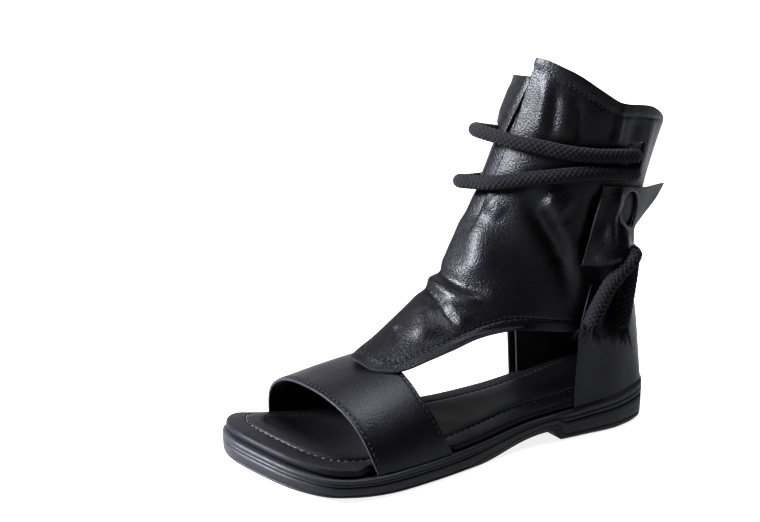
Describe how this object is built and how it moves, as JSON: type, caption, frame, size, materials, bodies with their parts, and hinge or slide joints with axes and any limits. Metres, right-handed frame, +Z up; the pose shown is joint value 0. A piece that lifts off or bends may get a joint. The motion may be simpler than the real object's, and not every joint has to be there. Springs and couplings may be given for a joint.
{
  "type": "gladiator sandal boot",
  "caption": "Open-toe gladiator sandal boot for the left foot: wide toe band, vamp running up into a tall wrapped shaft, open sides, heel counter, flat rubber sole and cord tie",
  "frame": {"origin": "on the floor, at the middle of the heel's flat face", "axes": "+Z up, +Y towards the back of the heel, so the toe points to -Y; +X to the lateral, outer side of the left foot"},
  "size_m": [0.1123, 0.2727, 0.221],
  "materials": {
    "outsole": "moulded black rubber, satin",
    "footbed": "padded black leather, soft sheen, stitched channel",
    "upper": "black pebbled leather, soft gloss",
    "cuff": "black pebbled leather with a raw cut edge",
    "heel_counter": "smooth black leather, satin",
    "back_flap": "black leather with a pale raw edge round the hole",
    "rope_upper_wrap": "braided black cotton cord",
    "rope_lower_wrap": "braided black cotton cord",
    "rope_knot": "braided black cotton cord",
    "rope_end_front": "braided black cotton cord",
    "rope_end_back": "braided black cotton cord"
  },
  "bodies": {
    "root": {"outsole": "outsole", "footbed": "footbed", "upper": "upper", "cuff": "cuff", "heel_counter": "heel_counter", "back_flap": "back_flap", "rope_upper_wrap": "rope_upper_wrap", "rope_lower_wrap": "rope_lower_wrap", "rope_knot": "rope_knot", "rope_end_front": "rope_end_front", "rope_end_back": "rope_end_back"}
  },
  "joints": []
}
